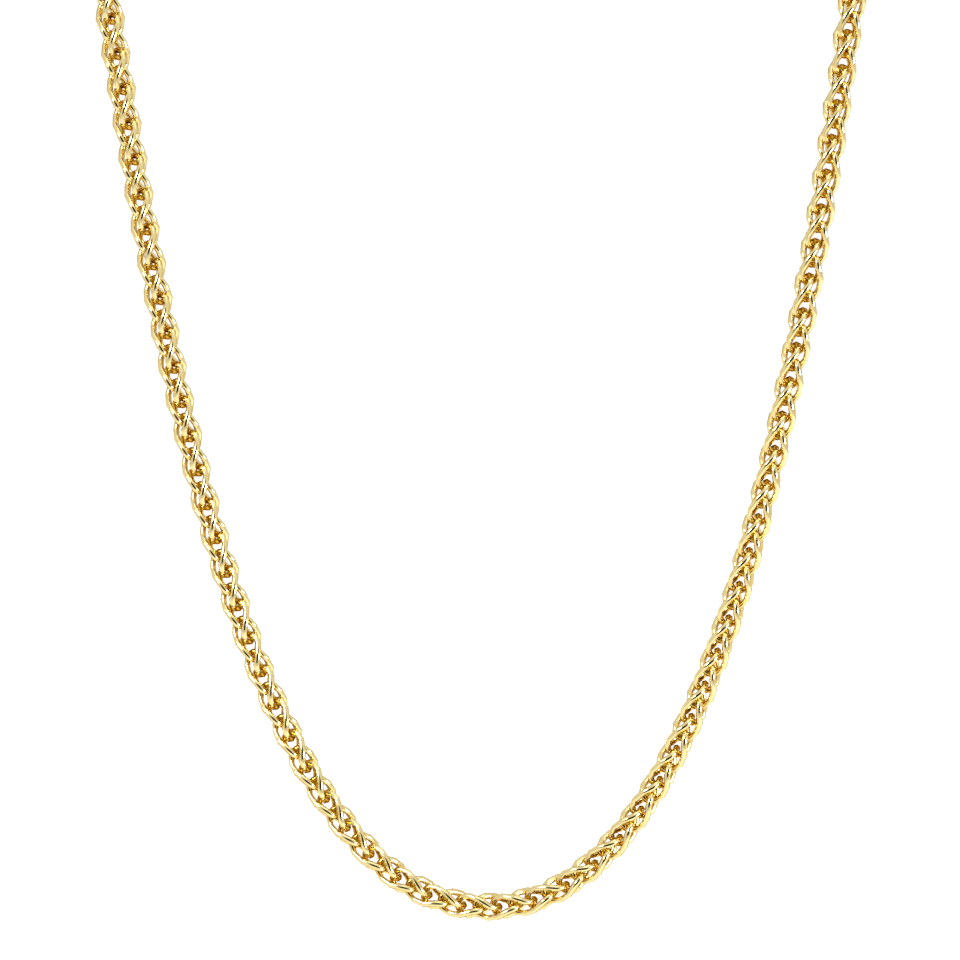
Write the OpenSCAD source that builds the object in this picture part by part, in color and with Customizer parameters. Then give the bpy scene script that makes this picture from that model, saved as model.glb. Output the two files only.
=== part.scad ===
// Wheat chain necklace, worn round a neck: a whole loop closed by a plain clasp at the nape.
// Millimetres. +Z is up, -Y is the wearer's front, and the origin is where the clasp rests on the nape.

/* [Chain] */
// Thickness of the chain over its links
chain_d = 4.2; // [3.6:0.1:4.4]
// Number of flats round the chain's plain body
chain_sides = 10; // [8:1:12]
// Lean of the chest away from upright, in degrees
chest_slope = 20; // [12:1:28]

/* [Clasp] */
// Thickness of the clasp
clasp_t = 1.6; // [1.2:0.1:1.7]
// Radius of the clasp's round hook end
hook_r = 3.1; // [2.9:0.1:3.6]
// Radius of the opening in the hook end
hook_open_r = 1.75; // [1.6:0.05:1.8]
// Radius of the clasp's tail end
tail_r = 1.5; // [1.4:0.1:2.0]
// Radius of the eye in the tail end
tail_eye_r = 0.8; // [0.75:0.05:0.9]

/* [End rings] */
// Radius of each ring, to the middle of its wire
ring_r = 2.2; // [2.1:0.1:2.4]
// Thickness of the rings' wire
ring_wire_d = 0.8; // [0.6:0.1:0.9]

/* [Hidden] */
$fn = 72;

// The least gap left between two pieces that move on each other
gap = 0.1;
// Material left between the hole for an end ring and the end of the chain
end_wall = 0.7;
// Room between an end ring's wire and the edge of the clasp that it hangs on
ring_play = 0.3;
// Narrow end of the opening in the hook end: its middle, and its radius
open_tip_x = 0.6;
open_tip_r = 0.9;
// Steps along each curve of the route, and the most room between two rings of the chain's plain body
curve_steps = 40;
ring_step = 2 * chain_d;

// Middle line of the clasp, the rings and the chain's two ends, behind the nape
nape_y = clasp_t / 2;
// Hole for the end ring in each end of the chain, and the chain's end itself, from the middle of the clasp
eye_x = 8.8;
end_x = eye_x - ring_wire_d / 2 - gap - end_wall;
ring_x = eye_x - ring_r;

// Front of the route, drawn flat on the chest: [across, up] from the middle of the neck's front.
// The lowest point comes first, then two handles, then where the strand leaves the chest.
front_left = [[1, -127], [-32, -128], [-45, -52.5], [-53, 0]];
front_right = [[1, -127], [32.5, -126], [44, -54], [51.5, 0]];
// Where the top of that flat drawing lies, as [back, up]
front_top = [-58, -32];
// Rest of the route on the right side: over the shoulder to the widest point, then round to the nape
shoulder_lead = 12;
shoulder_handle = [57, -49, -20];
side_point = [57, -42, -13];
side_handle = [57, -25, 4];
nape_handle = [37.6, nape_y, 0];
nape_point = [end_x, nape_y, 0];

function unit(v) = v / norm(v);
function mirrored(p, side) = [side * p[0], p[1], p[2]];
// A point of the flat front drawing, leaned back by the slope of the chest
function on_chest(p) =
    [p[0], front_top[0] + p[1] * sin(chest_slope), front_top[1] + p[1] * cos(chest_slope)];
// A cubic curve with its two end points and two handles
function curve(c, t) =
    pow(1 - t, 3) * c[0] + 3 * pow(1 - t, 2) * t * c[1] + 3 * (1 - t) * t * t * c[2] + t * t * t * c[3];

// The route from the lowest point to one end of the chain, as three curves and then as close points
function front(side) = [for (p = side < 0 ? front_left : front_right) on_chest(p)];
function curves(side) =
    let (f = front(side), side_p = mirrored(side_point, side))
    [
        f,
        [f[3], f[3] + shoulder_lead * unit(f[3] - f[2]), mirrored(shoulder_handle, side), side_p],
        [side_p, mirrored(side_handle, side), mirrored(nape_handle, side), mirrored(nape_point, side)]
    ];
function route(side) =
    [for (c = curves(side)) for (i = [0 : curve_steps - 1]) curve(c, i / curve_steps), mirrored(nape_point, side)];
// Distance along the close points, from the lowest point
function distances(p) =
    [for (i = 0, d = 0; i < len(p); i = i + 1, d = i < len(p) ? d + norm(p[i] - p[i - 1]) : d) d];
// Points and headings at even steps along the route
function even_points(p, n) =
    let (
        d = distances(p),
        end = len(p) - 1,
        tables = [for (axis = [0 : 2]) [for (k = [0 : end]) [d[k], p[k][axis]]]]
    )
    [for (i = [0 : n]) [for (table = tables) lookup(d[end] * i / n, table)]];
// The two halves leave the lowest point in opposite directions, so that their end faces meet exactly
function headings(q, side) =
    let (first = side * unit(on_chest(front_right[1]) - on_chest(front_right[0])), end = len(q) - 1)
    [for (i = [0 : end]) i == 0 ? first : unit(q[min(i + 1, end)] - q[i - 1])];

// Outward side of the chain, carried along the route without a twist from the front of the chest
chest_out = [0, -cos(chest_slope), sin(chest_slope)];
function square_to(v, way) = unit(v - (v * way) * way);
function outward(ways) =
    [for (i = 0, v = chest_out; i < len(ways); i = i + 1, v = i < len(ways) ? square_to(v, ways[i]) : v) v];

// One closed tube through rings of chain_sides points
module swept_tube(side) {
    close = route(side);
    d = distances(close);
    n = ceil(d[len(d) - 1] / ring_step);
    q = even_points(close, n);
    way = headings(q, side);
    out = outward(way);
    points = [
        for (i = [0 : n]) for (k = [0 : chain_sides - 1])
            let (turn = 360 * (k + 0.5) / chain_sides)
            q[i] + chain_d / 2 * (cos(turn) * out[i] + sin(turn) * cross(way[i], out[i]))
    ];
    walls = [
        for (i = [0 : n - 1]) for (k = [0 : chain_sides - 1])
            let (a = i * chain_sides + k, b = i * chain_sides + (k + 1) % chain_sides)
            each [[a, a + chain_sides, b], [b, a + chain_sides, b + chain_sides]]
    ];
    first = [for (k = [0 : chain_sides - 1]) k];
    last = [for (k = [chain_sides - 1 : -1 : 0]) n * chain_sides + k];
    polyhedron(points, concat(walls, [first, last]));
}

// A ring of round wire lying level behind the nape
module level_ring(side, wire_d) {
    translate([side * ring_x, nape_y, 0]) rotate_extrude() translate([ring_r, 0]) circle(d = wire_d);
}

// Half of the chain, from the lowest point to the nape, holed near its end for the end ring
module chain_half(side) {
    color("goldenrod") difference() {
        swept_tube(side);
        level_ring(side, ring_wire_d + 2 * gap);
    }
}

module end_ring(side) {
    color("gold") level_ring(side, ring_wire_d);
}

// Outline of two discs on the X axis and the straight flanks that touch both
module pear(x1, r1, x2, r2) {
    lean = acos((r1 - r2) / (x1 - x2));
    tip = [cos(lean), sin(lean)];
    touch_1 = [x1 - r1 * tip[0], r1 * tip[1]];
    touch_2 = [x2 - r2 * tip[0], r2 * tip[1]];
    translate([x1, 0]) circle(r1);
    translate([x2, 0]) circle(r2);
    polygon([touch_1, touch_2, [touch_2[0], -touch_2[1]], [touch_1[0], -touch_1[1]]]);
}

// Plain closed hook clasp, lying flat against the nape
module clasp() {
    // The rings bear on these edges of the opening and the eye
    bearing_x = ring_x - ring_r + ring_wire_d / 2 + ring_play;
    hook_x = bearing_x - hook_open_r;
    tail_x = tail_eye_r - bearing_x;
    color("gold") translate([0, nape_y + clasp_t / 2, 0]) rotate([90, 0, 0]) linear_extrude(clasp_t) difference() {
        pear(hook_x, hook_r, tail_x, tail_r);
        pear(hook_x, hook_open_r, open_tip_x, open_tip_r);
        translate([tail_x, 0]) circle(tail_eye_r);
    }
}

chain_half(-1);  // chain_left
chain_half(1);  // chain_right
end_ring(-1);  // end_ring_left
end_ring(1);  // end_ring_right
clasp();
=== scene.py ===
"""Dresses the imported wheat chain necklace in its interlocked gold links, end rings, clasp and studio.

The file is laid out as an add-on and run as a script. The named sizes are in millimetres, as in the solids,
and become metres where a mesh is made. Each group of like pieces has an operator, and the panel lists them.
"""

import bisect
import math

import bpy
from mathutils import Matrix, Vector


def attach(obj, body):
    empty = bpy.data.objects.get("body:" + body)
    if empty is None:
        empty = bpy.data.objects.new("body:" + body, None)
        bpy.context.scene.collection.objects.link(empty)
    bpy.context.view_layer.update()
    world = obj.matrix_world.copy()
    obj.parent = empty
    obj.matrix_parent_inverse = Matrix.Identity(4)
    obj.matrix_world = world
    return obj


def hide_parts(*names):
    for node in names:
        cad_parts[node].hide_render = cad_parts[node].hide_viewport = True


bl_info = {
    "name": "Wheat Chain Necklace",
    "version": (1, 0, 0),
    "blender": (4, 5, 0),
    "location": "3D View > Sidebar > Necklace",
    "description": "Makes the links, end rings, clasp and studio of a gold wheat chain necklace",
    "category": "Add Mesh",
}

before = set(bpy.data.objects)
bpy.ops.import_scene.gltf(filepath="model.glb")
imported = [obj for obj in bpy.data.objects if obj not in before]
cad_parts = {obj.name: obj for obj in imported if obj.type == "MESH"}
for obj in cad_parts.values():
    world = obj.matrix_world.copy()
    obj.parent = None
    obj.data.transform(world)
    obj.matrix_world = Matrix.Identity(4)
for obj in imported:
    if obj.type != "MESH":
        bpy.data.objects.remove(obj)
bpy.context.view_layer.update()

MM = 0.001

# Clasp: its thickness, the radii of its hook end and tail end, and the radii of the holes in them
CLASP_THICKNESS = 1.6
HOOK_RADIUS = 3.1
TAIL_RADIUS = 1.5
OPENING_RADIUS = 1.75
EYE_RADIUS = 0.8
# How far both holes reach from the middle of the clasp, and so the middles of its two ends
HOLES_REACH = 5.1
HOOK_X = HOLES_REACH - OPENING_RADIUS
TAIL_X = EYE_RADIUS - HOLES_REACH
# Narrow end of the opening: its middle and its radius
OPENING_TIP_X = 0.6
OPENING_TIP_RADIUS = 0.9
# Radius of the tumbled rims, steps round them and along each arc of an outline, and the angle from which an
# edge stays sharp
CLASP_RIM = 0.3
RIM_STEPS = 3
ARC_STEPS = 30
SHARP_ANGLE = math.radians(40)
# Points nearer than this are one point
MERGE_DISTANCE = 0.001

# End rings: their middles, their play in the links that they hold, and steps round them and round their wire
END_RING_X = 6.6
RING_PLAY = 0.04
RING_STEPS = 66
RING_WIRE_STEPS = 16

# Middle line of the clasp, the rings and the chain's two ends, and where the chain ends
NAPE_Y = CLASP_THICKNESS / 2
CHAIN_END_X = 7.6

# The chain's middle line, as the solids have it. The front is drawn flat on the chest as (across, up): the
# lowest point, two handles, and where the strand leaves the chest. -1 is the half where x is below 0.
CHEST_SLOPE = math.radians(20)
OUT_OF_CHEST = Vector((0, -math.cos(CHEST_SLOPE), math.sin(CHEST_SLOPE)))
FRONT_TOP = (-58, -32)
FRONT = {
    -1: ((1, -127), (-32, -128), (-45, -52.5), (-53, 0)),
    1: ((1, -127), (32.5, -126), (44, -54), (51.5, 0)),
}
# Over the shoulder to the widest point, and on to the nape, for the half where x is above 0
SHOULDER_LEAD = 12
SHOULDER_HANDLE = (57, -49, -20)
SIDE_POINT = (57, -42, -13)
SIDE_HANDLE = (57, -25, 4)
NAPE_HANDLE = (37.6, NAPE_Y, 0)
NAPE_POINT = (CHAIN_END_X, NAPE_Y, 0)
# Steps along each of the three curves of a half
CURVE_STEPS = 200

# How the links lie, by the distance along the chain from the lowest point (negative where x is below 0):
# their turn about the chain's line in degrees, their slide along it from even spacing, and their spread
# across it, which is 1 at the chain's two ends. The chain rolls and stretches a little as it hangs, and its
# links spread the most at the bottom, where they bear no weight. At each end the arch of the last link
# stands upright, so that the end ring passes through it.
LAY = (
    (-243, -102, 0, 1),
    (-150, -35, 0.1, 1.03),
    (-110, -28, 0.35, 1.03),
    (-50, -20, 0, 1.03),
    (-30, -10, 0, 1.06),
    (20, 0, 0.35, 1.06),
    (60, -5, 0.15, 1.06),
    (130, -25, -0.3, 1.03),
    (242, -11, 0, 1),
)

# Shape of a link: how its points crowd to its ends (0 is evenly), and how square its oval is towards its head
# and its foot (1 is an ellipse, and less is squarer)
END_CROWDING = 0.15
HEAD_FULLNESS = 0.77
FOOT_FULLNESS = 0.62
# The middle and half the height of its quarter turn
TWIST_MIDDLE = -0.1
TWIST_HALF_HEIGHT = 2.95
# How far its head is set aside and back, and its foot back
HEAD_ASIDE = 0.19
HEAD_BACK = 0.1
FOOT_BACK = 0.51
# Points round the wire beyond four, in each half of its round, which give it six flats
WIRE_STEPS = 1

# The one metal, and the attribute that holds how far out a point of it is, in half widths of a link from the
# chain's line. Painted shade darkens the metal fully below the first value, and not at all from the second.
GOLD = "gold_14_carat_polished_with_painted_shade"
REACH = "reach"
FULL_PAINTED_SHADE_REACH = 0.4
NO_PAINTED_SHADE_REACH = 1
# Size of the patches that buffing leaves, and of the waves that drawing and buffing leave, with their depth
BUFFING_PATCH = 0.8
WIRE_WAVE = 0.35
WIRE_WAVE_DEPTH = 0.02

# Picture: its middle on the flat front drawing, its width there, and the camera's lens, sensor and near clip
PICTURE_MIDDLE = (-0.74, -67.075)
PICTURE_WIDTH = 134.8
LENS = 100
SENSOR_WIDTH = 36
CLIP_START = 10

# Floor: its height and size, where along y its painted glow starts and is full, and how bright the glow is
# there
FLOOR_Z = -300
FLOOR_SIZE = 12000
FLOOR_PAINTED_GLOW_Y = (-100, 200)
FLOOR_PAINTED_GLOW = 0.3

# Each lamp's name, place and size, and its power in watts
LAMPS = (
    ("key", (-450, -450, 350), 200, 2.25),
    ("fill", (500, -400, 0), 200, 2.4),
    ("top", (100, -100, 550), 300, 0.38),
)

# Linear brightness of the white walls and of the dark, warm room behind the camera, and the room's soft edge
# as cosines of the angle off the camera's line
WALLS = (0.84, 0.84, 0.84, 1)
ROOM = (0.02, 0.015, 0.01, 1)
ROOM_EDGE = (0.8, 0.9)


def linear(hex_colour):
    """An sRGB hex colour, such as "#E3B04B", as linear red, green, blue and a full alpha."""
    shares = [int(hex_colour[i : i + 2], 16) / 255 for i in (1, 3, 5)]
    return (*(c / 12.92 if c <= 0.04045 else ((c + 0.055) / 1.055) ** 2.4 for c in shares), 1)


def on_chest(across, up):
    """A point of the flat front drawing, leaned back by the slope of the chest."""
    back, height = FRONT_TOP
    return Vector((across, back + up * math.sin(CHEST_SLOPE), height + up * math.cos(CHEST_SLOPE)))


def curve_point(handles, t):
    """The point at share t of a cubic curve with these two ends and two handles."""
    a, b, c, d = handles
    u = 1 - t
    return u * u * u * a + 3 * u * u * t * b + 3 * u * t * t * c + t * t * t * d


class HalfRoute:
    """One half of the chain's middle line, from the lowest point to the nape, with its outward side."""

    def __init__(self, side):
        def mirrored(p):
            return Vector((side * p[0], p[1], p[2]))

        front = [on_chest(*p) for p in FRONT[side]]
        lead = (front[3] - front[2]).normalized() * SHOULDER_LEAD
        side_point = mirrored(SIDE_POINT)
        curves = (
            front,
            (front[3], front[3] + lead, mirrored(SHOULDER_HANDLE), side_point),
            (side_point, mirrored(SIDE_HANDLE), mirrored(NAPE_HANDLE), mirrored(NAPE_POINT)),
        )
        self.points = [curve_point(c, i / CURVE_STEPS) for c in curves for i in range(CURVE_STEPS)]
        self.points.append(mirrored(NAPE_POINT))
        self.distances = [0.0]
        for a, b in zip(self.points, self.points[1:]):
            self.distances.append(self.distances[-1] + (b - a).length)
        self.length = self.distances[-1]
        # The outward side is carried along without a twist from the front of the chest
        out = OUT_OF_CHEST
        last = len(self.points) - 1
        self.ways, self.outs = [], []
        for i in range(last + 1):
            way = (self.points[min(i + 1, last)] - self.points[max(i - 1, 0)]).normalized()
            out = (out - out.dot(way) * way).normalized()
            self.ways.append(way)
            self.outs.append(out)

    def at(self, distance):
        """The point, heading and outward side at a distance from the lowest point."""
        i = min(max(bisect.bisect_right(self.distances, distance), 1), len(self.points) - 1)
        t = (distance - self.distances[i - 1]) / (self.distances[i] - self.distances[i - 1])
        return (
            self.points[i - 1].lerp(self.points[i], t),
            self.ways[i - 1].lerp(self.ways[i], t).normalized(),
            self.outs[i - 1].lerp(self.outs[i], t).normalized(),
        )


def lay_at(distance):
    """How the links lie there: their turn in radians, their slide in mm, and their spread."""
    i = min(max(bisect.bisect_right([row[0] for row in LAY], distance), 1), len(LAY) - 1)
    (d0, *lay0), (d1, *lay1) = LAY[i - 1], LAY[i]
    t = min(max((distance - d0) / (d1 - d0), 0), 1)
    roll, slide, spread = (a + (b - a) * t for a, b in zip(lay0, lay1))
    return math.radians(roll), slide, spread


def add_node(tree, kind, inputs=(), **settings):
    """Adds a node to a tree. settings are its properties. inputs are (socket, value or another socket)."""
    node = tree.nodes.new(kind)
    for name, value in settings.items():
        setattr(node, name, value)
    for socket, value in inputs:
        if isinstance(value, bpy.types.NodeSocket):
            tree.links.new(value, node.inputs[socket])
        else:
            node.inputs[socket].default_value = value
    return node


def new_material(name):
    """A new node material: itself, its tree and its shader."""
    material = bpy.data.materials.new(name)
    material.use_nodes = True
    return material, material.node_tree, material.node_tree.nodes["Principled BSDF"]


def polished_yellow_gold(sizes):
    """14 carat yellow gold, drawn to wire, soldered, tumbled and buffed.

    Buffing gives the links mirror highlights that are a little uneven. Between the links the colour darkens
    to
    a browner gold: painted shade, standing for the shade that falls in the gaps.
    """
    material, tree, shader = new_material(GOLD)
    place = add_node(tree, "ShaderNodeTexCoord").outputs["Object"]
    reach = add_node(tree, "ShaderNodeAttribute", attribute_name=REACH).outputs["Fac"]
    unshaded = add_node(
        tree,
        "ShaderNodeMapRange",
        [("Value", reach), ("From Min", FULL_PAINTED_SHADE_REACH), ("From Max", NO_PAINTED_SHADE_REACH)],
        interpolation_type="SMOOTHSTEP",
    )
    # Painted shade: the colour darkens to the inner gold towards the chain's line, between the links
    colour = add_node(
        tree,
        "ShaderNodeMix",
        [
            ("Factor", unshaded.outputs["Result"]),
            ("A", linear(sizes.painted_shade_gold)),
            ("B", linear(sizes.outer_gold)),
        ],
        data_type="RGBA",
    )
    # Buffing leaves patches that differ a little in gloss
    patches = add_node(
        tree,
        "ShaderNodeTexNoise",
        [("Vector", place), ("Scale", 1 / (BUFFING_PATCH * MM)), ("Detail", 3)],
    ).outputs["Fac"]
    rough = add_node(
        tree,
        "ShaderNodeMapRange",
        [("Value", patches), ("From Min", 0.3), ("From Max", 0.7), ("To Min", 0.03), ("To Max", 0.08)],
    )
    # Drawing and buffing leave the wire faintly wavy
    waves = add_node(
        tree,
        "ShaderNodeTexNoise",
        [("Vector", place), ("Scale", 1 / (WIRE_WAVE * MM)), ("Detail", 2)],
    ).outputs["Fac"]
    bump = add_node(
        tree,
        "ShaderNodeBump",
        [("Strength", 0.12), ("Distance", WIRE_WAVE_DEPTH * MM), ("Height", waves)],
    )
    shader.inputs["Metallic"].default_value = 1
    # Matched to the photograph, where the wire is darker and browner seen edge-on
    # The darker, browner reflection seen edge-on is painted shade on the wire's rims
    shader.inputs["Specular Tint"].default_value = linear("#BCA473")
    tree.links.new(colour.outputs[2], shader.inputs["Base Color"])
    tree.links.new(rough.outputs[0], shader.inputs["Roughness"])
    tree.links.new(bump.outputs["Normal"], shader.inputs["Normal"])
    return material


def matt_white_paint_with_painted_glow():
    """Matt white paint, rolled on: an even white with no gloss.

    Painted light: the floor itself glows behind the necklace, and the glow fades to nothing in front.
    """
    material, tree, shader = new_material("matt_white_paint_with_painted_glow")
    shader.inputs["Base Color"].default_value = linear("#F7F7F7")
    shader.inputs["Roughness"].default_value = 0.9
    # The floor's glow is painted light from its own surface, not a lamp
    shader.inputs["Emission Color"].default_value = linear("#FFFFFF")
    place = add_node(tree, "ShaderNodeTexCoord").outputs["Object"]
    behind = add_node(tree, "ShaderNodeSeparateXYZ", [(0, place)]).outputs["Y"]
    start, full = FLOOR_PAINTED_GLOW_Y
    emitter = add_node(
        tree,
        "ShaderNodeMapRange",
        [("Value", behind), ("From Min", start * MM), ("From Max", full * MM), ("To Max", FLOOR_PAINTED_GLOW)],
        interpolation_type="SMOOTHSTEP",
    )
    tree.links.new(emitter.outputs["Result"], shader.inputs["Emission Strength"])
    return material


class NecklaceSizes(bpy.types.PropertyGroup):
    """Sizes and colours that a user would change."""

    links_each_side: bpy.props.IntProperty(
        name="Links each side",
        description="Links from the lowest point to one end of the chain",
        default=98,
        min=10,
    )
    wire: bpy.props.FloatProperty(
        name="Link wire",
        description="Thickness of the links' wire, over the edges of its six flats",
        default=0.88 * MM,
        precision=5,
        unit="LENGTH",
    )
    link_reach: bpy.props.FloatProperty(
        name="Link reach",
        description="From the middle of a link to the middle of the wire at its end",
        default=3 * MM,
        precision=5,
        unit="LENGTH",
    )
    link_half_width: bpy.props.FloatProperty(
        name="Link half width",
        description="From the chain's line to the middle of a link's wire at its widest",
        default=1.575 * MM,
        precision=5,
        unit="LENGTH",
    )
    link_stations: bpy.props.IntProperty(
        name="Link stations",
        description="Points round each link",
        default=16,
        min=12,
    )
    ring_radius: bpy.props.FloatProperty(
        name="End ring radius",
        description="Radius of the end rings, to the middle of their wire",
        default=2.2 * MM,
        precision=5,
        unit="LENGTH",
    )
    ring_wire: bpy.props.FloatProperty(
        name="End ring wire",
        description="Thickness of the end rings' wire",
        default=0.8 * MM,
        precision=5,
        unit="LENGTH",
    )
    # Buffed gold is the metal's own colour; inner gold is painted shade, darker and browner between the links
    outer_gold: bpy.props.StringProperty(
        name="Buffed gold",
        description="sRGB colour of the buffed outside of the links",
        default="#F6E1A1",
    )
    painted_shade_gold: bpy.props.StringProperty(
        name="Inner gold",
        description="sRGB colour of the gold between the links",
        default="#D2AA48",
    )


def deselect():
    bpy.ops.object.select_all(action="DESELECT")


def gold():
    """The necklace's one metal, made once."""
    return bpy.data.materials.get(GOLD) or polished_yellow_gold(bpy.context.scene.necklace_sizes)


def merge_and_face_outwards():
    """Merges the active piece's doubles and turns its faces outwards."""
    bpy.ops.object.mode_set(mode="EDIT")
    bpy.ops.mesh.select_all(action="SELECT")
    bpy.ops.mesh.remove_doubles(threshold=MERGE_DISTANCE * MM)
    bpy.ops.mesh.normals_make_consistent(inside=False)
    bpy.ops.object.mode_set(mode="OBJECT")


def mark_reach(piece, reach_at):
    """Stores how far out each point of a piece is, which reach_at gives for its place."""
    reach = piece.data.attributes.new(REACH, "FLOAT", "POINT")
    for vertex, reached in zip(piece.data.vertices, reach.data):
        reached.value = reach_at(vertex.co)


def finish_piece(piece, name, node):
    """Names a piece, gives it its metal, and says what it rides on and replaces.

    Its place goes into its mesh, so that its object is at the origin, unturned and unscaled.
    """
    deselect()
    piece.select_set(True)
    bpy.context.view_layer.objects.active = piece
    bpy.ops.object.transform_apply(location=True, rotation=True, scale=True)
    piece.name = piece.data.name = name
    piece.data.materials.clear()
    piece.data.materials.append(gold())
    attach(piece, "root")
    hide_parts(node)


def add_link(sizes, flipped):
    """One wire link, standing on +Z round the origin.

    It is bent up from a ring as a jeweller bends it: drawn out to an oval, then turned a quarter between its
    two ends, so that each end is a flat arch that the next links hang in. The twist modifier turns at an even
    rate and leaves a kink where it stops, so the ring's points are turned here instead.
    """
    bpy.ops.mesh.primitive_circle_add(vertices=sizes.link_stations, radius=1)
    half_width = sizes.link_half_width
    for vertex in bpy.context.object.data.vertices:
        turn = math.atan2(vertex.co.x, vertex.co.y)
        # The points crowd towards the two ends, where the wire bends the tightest
        turn -= END_CROWDING * math.sin(2 * turn)
        along = sizes.link_reach * math.cos(turn)
        fullness = HEAD_FULLNESS if along > 0 else FOOT_FULLNESS
        across = half_width * math.copysign(abs(math.sin(turn)) ** fullness, math.sin(turn))
        # The twist eases in at the foot, which is turned back a quarter, and out at the head, which isn't
        share = min(max((along - TWIST_MIDDLE * MM) / (TWIST_HALF_HEIGHT * MM), -1), 1)
        angle = math.radians(45) * (1.5 * share - 0.5 * share**3 - 1)
        head = max(along / sizes.link_reach, 0) ** 2
        foot = min(along / sizes.link_reach, 0) ** 2
        aside = across * math.cos(angle) + HEAD_ASIDE * MM * head
        back = across * math.sin(angle) + (HEAD_BACK * head + FOOT_BACK * foot) * MM
        vertex.co = (aside, -back if flipped else back, along)
    bpy.ops.object.convert(target="CURVE")
    curve = bpy.context.object.data
    curve.bevel_depth = sizes.wire / 2
    curve.bevel_resolution = WIRE_STEPS
    bpy.ops.object.convert(target="MESH")
    merge_and_face_outwards()
    bpy.ops.object.shade_smooth()
    link = bpy.context.object
    mark_reach(link, lambda place: math.hypot(place.x, place.y) / half_width)
    return link


class NECKLACE_OT_links(bpy.types.Operator):
    """Add the interlocked links of both halves of the chain"""

    bl_idname = "necklace.links"
    bl_label = "Chain Links"

    def execute(self, context):
        sizes = context.scene.necklace_sizes
        halves = {side: HalfRoute(side) for side in (-1, 1)}
        # The last link at each end bears on the wire of its end ring, so its middle is this far from the
        # chain's end
        ring_reach = sizes.ring_radius / MM + END_RING_X - CHAIN_END_X
        tip = ring_reach + (sizes.link_reach - sizes.wire / 2 - sizes.ring_wire / 2) / MM - RING_PLAY
        # The links are evenly spaced from end to end, and the lowest point isn't quite halfway
        count = sizes.links_each_side
        pitch = (halves[-1].length + halves[1].length - 2 * tip) / (2 * count - 1)
        shift = (halves[1].length - halves[-1].length) / 2
        deselect()
        patterns = [add_link(sizes, flipped) for flipped in (False, True)]
        for side, name, numbers in ((-1, "left", range(-count, 0)), (1, "right", range(count))):
            deselect()
            for i in numbers:
                even = (i + 0.5) * pitch + shift
                roll, slide, spread = lay_at(even)
                point, way, out = halves[side].at(abs(even + slide))
                way *= side
                # A link's own axes: across the chain, into the chest, and with its head towards the end
                # where x is below 0
                basis = Matrix((out.cross(way), -out, -way)).transposed().to_4x4()
                turn = Matrix.Rotation(roll, 4, "Z") @ Matrix.Diagonal((spread, spread, 1, 1))
                # Every other link is the mirror image of its neighbours
                link = bpy.data.objects.new("link", patterns[(i + 1) % 2].data.copy())
                link.matrix_world = Matrix.Translation(point * MM) @ basis @ turn
                context.collection.objects.link(link)
                link.select_set(True)
            context.view_layer.objects.active = link
            bpy.ops.object.join()
            finish_piece(context.object, f"links_{name}", f"chain_{name}")
        for pattern in patterns:
            bpy.data.objects.remove(pattern)
        return {"FINISHED"}


class NECKLACE_OT_end_rings(bpy.types.Operator):
    """Add the ring that joins each end of the chain to the clasp"""

    bl_idname = "necklace.end_rings"
    bl_label = "End Rings"

    def execute(self, context):
        sizes = context.scene.necklace_sizes
        for side, name in ((-1, "left"), (1, "right")):
            deselect()
            bpy.ops.mesh.primitive_torus_add(
                major_radius=sizes.ring_radius,
                minor_radius=sizes.ring_wire / 2,
                major_segments=RING_STEPS,
                minor_segments=RING_WIRE_STEPS,
                location=(side * END_RING_X * MM, NAPE_Y * MM, 0),
            )
            bpy.ops.object.shade_smooth()
            mark_reach(context.object, lambda place: NO_PAINTED_SHADE_REACH)
            finish_piece(context.object, f"jump_ring_{name}", f"end_ring_{name}")
        return {"FINISHED"}


def pear(x1, r1, x2, r2):
    """Outline of two discs on the X axis, the first to the right, and the straight flanks that touch both."""
    touch = math.acos((r2 - r1) / (x1 - x2))
    steps = [2 * i / ARC_STEPS - 1 for i in range(ARC_STEPS + 1)]
    near = [(x1 + r1 * math.cos(touch * s), r1 * math.sin(touch * s)) for s in steps]
    far = [math.pi + (math.pi - touch) * s for s in steps]
    return near + [(x2 + r2 * math.cos(turn), r2 * math.sin(turn)) for turn in far]


def disc(x, r):
    """Outline of one disc on the X axis, as a pear whose two discs nearly coincide."""
    offset = 0.01
    return pear(x + offset, r, x - offset, r)


def add_outline(points):
    """A closed line through these points on the XY plane."""
    bpy.ops.mesh.primitive_circle_add(vertices=len(points), radius=1)
    outline = bpy.context.object
    for vertex, (x, y) in zip(outline.data.vertices, points):
        vertex.co = (x * MM, y * MM, 0)
    return outline


class NECKLACE_OT_clasp(bpy.types.Operator):
    """Add the plain closed hook clasp"""

    bl_idname = "necklace.clasp"
    bl_label = "Clasp"

    def execute(self, context):
        deselect()
        # The holes run the other way round from the outer outline
        outlines = [
            add_outline(pear(HOOK_X, HOOK_RADIUS, TAIL_X, TAIL_RADIUS)),
            add_outline(pear(HOOK_X, OPENING_RADIUS, OPENING_TIP_X, OPENING_TIP_RADIUS)[::-1]),
            add_outline(disc(TAIL_X, EYE_RADIUS)[::-1]),
        ]
        for outline in outlines:
            outline.select_set(True)
        context.view_layer.objects.active = outlines[0]
        bpy.ops.object.join()
        bpy.ops.object.convert(target="CURVE")
        # Casting and tumbling round the rims over
        curve = context.object.data
        curve.dimensions = "2D"
        curve.fill_mode = "BOTH"
        curve.bevel_depth = CLASP_RIM * MM
        curve.bevel_resolution = RIM_STEPS
        curve.offset = -CLASP_RIM * MM
        curve.extrude = (CLASP_THICKNESS / 2 - CLASP_RIM) * MM
        bpy.ops.object.convert(target="MESH")
        merge_and_face_outwards()
        bpy.ops.object.shade_smooth_by_angle(angle=SHARP_ANGLE)
        clasp = context.object
        clasp.rotation_euler = (math.radians(90), 0, 0)
        clasp.location = (0, NAPE_Y * MM, 0)
        mark_reach(clasp, lambda place: NO_PAINTED_SHADE_REACH)
        finish_piece(clasp, "hook_clasp", "clasp")
        return {"FINISHED"}


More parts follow.
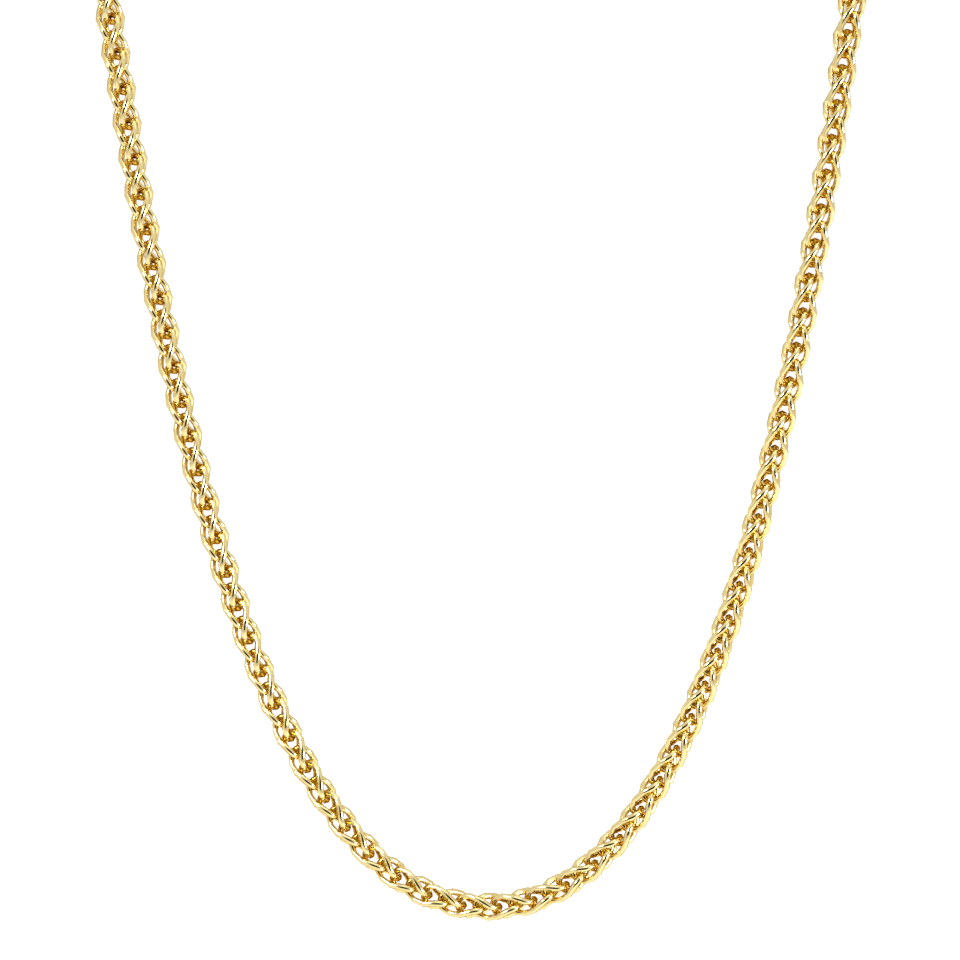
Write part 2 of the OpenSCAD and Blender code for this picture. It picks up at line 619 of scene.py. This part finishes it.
def add_floor():
    """A pale floor far below the necklace, so that no shadow shows on it."""
    bpy.ops.mesh.primitive_plane_add(size=FLOOR_SIZE * MM, location=(0, 0, FLOOR_Z * MM))
    floor = bpy.context.object
    floor.name = "floor"
    floor.data.materials.append(matt_white_paint_with_painted_glow())


def add_lamps(collection, aim):
    """The soft lamps, all turned to the middle of the picture."""
    for name, place, size, power in LAMPS:
        emitter = bpy.data.objects.new(name, bpy.data.lights.new(name, "AREA"))
        emitter.data.size = size * MM
        emitter.data.energy = power
        emitter.location = Vector(place) * MM
        emitter.rotation_euler = (aim - emitter.location).to_track_quat("-Z", "Y").to_euler()
        collection.objects.link(emitter)


def white_walls():
    """A world of white walls all round, and a dark, warm room behind the camera."""
    world = bpy.data.worlds.new("studio")
    world.use_nodes = True
    tree = world.node_tree
    way = add_node(tree, "ShaderNodeTexCoord").outputs["Generated"]
    towards_camera = add_node(
        tree,
        "ShaderNodeVectorMath",
        [(0, way), (1, OUT_OF_CHEST)],
        operation="DOT_PRODUCT",
    ).outputs["Value"]
    room = add_node(
        tree,
        "ShaderNodeMapRange",
        [("Value", towards_camera), ("From Min", ROOM_EDGE[0]), ("From Max", ROOM_EDGE[1])],
        interpolation_type="SMOOTHSTEP",
    )
    walls = add_node(
        tree,
        "ShaderNodeMix",
        [("Factor", room.outputs["Result"]), ("A", WALLS), ("B", ROOM)],
        data_type="RGBA",
    )
    tree.links.new(walls.outputs[2], tree.nodes["Background"].inputs["Color"])
    return world


def add_camera(collection, aim):
    """The camera, square to the front of the chest. Returns it."""
    camera = bpy.data.objects.new("camera", bpy.data.cameras.new("camera"))
    camera.data.lens = LENS
    camera.data.sensor_width = SENSOR_WIDTH
    camera.data.clip_start = CLIP_START * MM
    camera.location = aim + OUT_OF_CHEST * PICTURE_WIDTH * MM * LENS / SENSOR_WIDTH
    camera.rotation_euler = (-OUT_OF_CHEST).to_track_quat("-Z", "Y").to_euler()
    collection.objects.link(camera)
    return camera


class NECKLACE_OT_stage(bpy.types.Operator):
    """Add the pale floor, the soft studio light and the camera"""

    bl_idname = "necklace.stage"
    bl_label = "Stage"

    def execute(self, context):
        deselect()
        aim = on_chest(*PICTURE_MIDDLE) * MM
        add_floor()
        add_lamps(context.collection, aim)
        context.scene.world = white_walls()
        context.scene.camera = add_camera(context.collection, aim)
        # Plain sRGB, so that the pale floor stays white as in the photograph
        context.scene.view_settings.view_transform = "Standard"
        return {"FINISHED"}


class NECKLACE_PT_panel(bpy.types.Panel):
    """Lists the necklace's sizes and pieces"""

    bl_idname = "NECKLACE_PT_panel"
    bl_label = "Necklace"
    bl_space_type = "VIEW_3D"
    bl_region_type = "UI"
    bl_category = "Necklace"

    def draw(self, context):
        for name in NecklaceSizes.__annotations__:
            self.layout.prop(context.scene.necklace_sizes, name)
        for operator in OPERATORS:
            self.layout.operator(operator.bl_idname)


OPERATORS = (NECKLACE_OT_links, NECKLACE_OT_end_rings, NECKLACE_OT_clasp, NECKLACE_OT_stage)
CLASSES = (NecklaceSizes, *OPERATORS, NECKLACE_PT_panel)


def register():
    for cls in CLASSES:
        bpy.utils.register_class(cls)
    bpy.types.Scene.necklace_sizes = bpy.props.PointerProperty(type=NecklaceSizes)


def unregister():
    del bpy.types.Scene.necklace_sizes
    for cls in reversed(CLASSES):
        bpy.utils.unregister_class(cls)


def main():
    register()
    bpy.ops.necklace.links()
    bpy.ops.necklace.end_rings()
    bpy.ops.necklace.clasp()
    bpy.ops.necklace.stage()


if __name__ == "__main__":
    main()
